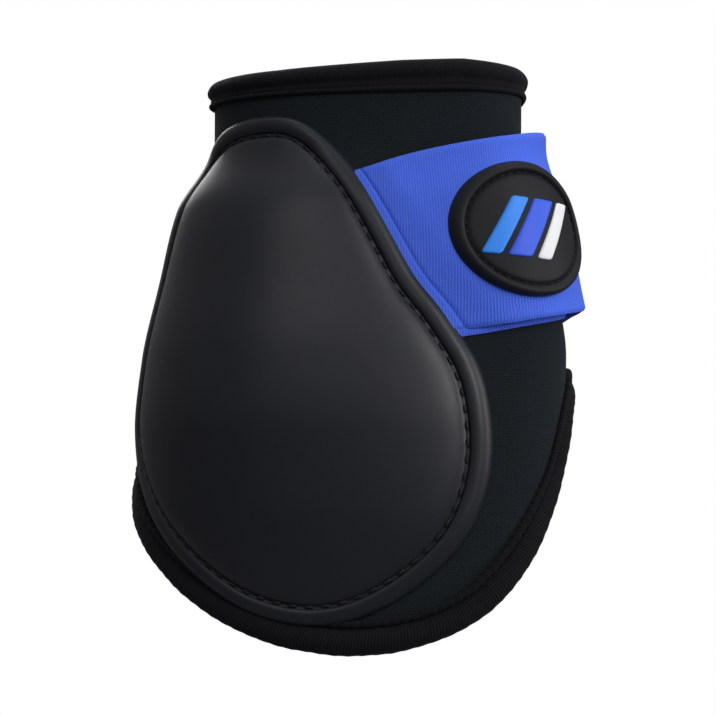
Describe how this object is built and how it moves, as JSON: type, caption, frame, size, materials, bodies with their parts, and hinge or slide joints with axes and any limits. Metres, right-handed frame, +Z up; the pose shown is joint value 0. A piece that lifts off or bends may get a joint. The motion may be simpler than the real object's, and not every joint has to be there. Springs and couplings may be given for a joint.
{
  "type": "tendon boots",
  "caption": "Fetlock-style tendon boot for a horse: domed strike shell on a bound neoprene body, closed by an elastic hook-and-loop strap with a rubber badge.",
  "frame": {"origin": "on the vertical axis of the leg opening's widest part, at the height of the lowest point of the bottom binding", "axes": "+Z up the leg, -Y towards the inner side that carries the strike shell, +X towards the front of the leg where the strap folds round"},
  "size_m": [0.1226, 0.1076, 0.158],
  "materials": {
    "shell": "satin polyurethane",
    "thread": "bonded thread",
    "foam": "closed-cell foam",
    "neoprene": "fine knitted jersey",
    "lining": "smooth jersey",
    "binding": "ribbed stretch binding",
    "elastic": "ribbed elastic webbing",
    "badge_rubber": "moulded rubber",
    "badge_light": "moulded rubber",
    "badge_mid": "moulded rubber",
    "badge_white": "moulded rubber",
    "hook": "hook tape",
    "loop": "brushed loop"
  },
  "bodies": {
    "boot_back": {"outer_shell": "shell", "shell_stitching": "thread", "impact_pad": "foam", "neoprene_back": "neoprene", "lining_back": "lining", "top_roll_back": "binding", "top_bead_back": "binding", "bottom_roll_back": "binding", "bottom_bead_back": "binding", "strap_anchor": "elastic"},
    "near_wing": {"neoprene_near": "neoprene", "lining_near": "lining", "top_roll_near": "binding", "top_bead_near": "binding", "bottom_roll_near": "binding", "bottom_bead_near": "binding", "front_binding_near": "binding", "strap_front": "elastic", "strap_underlay": "elastic", "badge_base": "badge_rubber", "badge_rim": "badge_rubber", "badge_stripe_light": "badge_light", "badge_stripe_mid": "badge_mid", "badge_bar_white": "badge_white"},
    "far_wing": {"neoprene_far": "neoprene", "lining_far": "lining", "top_roll_far": "binding", "top_bead_far": "binding", "bottom_roll_far": "binding", "bottom_bead_far": "binding", "front_binding_far": "binding", "loop_panel": "loop"},
    "strap_end": {"strap_tail": "elastic", "hook_tape": "hook"},
    "strap_tip": {"strap_tip": "elastic", "hook_tape_tip": "hook"}
  },
  "joints": [
    {"name": "strap_peel", "type": "hinge", "parent": "near_wing", "child": "strap_end", "pos_m": [0.05661, 0.01277, 0.091], "axis": [0.1998, 0.0504, -0.9785], "range_deg": [0, 120]},
    {"name": "tip_lift", "type": "hinge", "parent": "strap_end", "child": "strap_tip", "pos_m": [0.01086, 0.04956, 0.084], "axis": [0.036, 0.1445, -0.9888], "range_deg": [0, 40]},
    {"name": "near_wing_flex", "type": "hinge", "parent": "boot_back", "child": "near_wing", "pos_m": [0.0346, -0.0535, 0.064], "axis": [0.39, 0, -0.9208], "range_deg": [0, 10]},
    {"name": "far_wing_flex", "type": "hinge", "parent": "boot_back", "child": "far_wing", "pos_m": [-0.015, 0.052, 0.072], "axis": [0, -0.1196, 0.9928], "range_deg": [0, 25]}
  ],
  "couplings": [
    {"joint": "near_wing_flex", "follows": "strap_peel", "ratio": 0.08333},
    {"joint": "far_wing_flex", "follows": "strap_peel", "ratio": 0.20833}
  ]
}
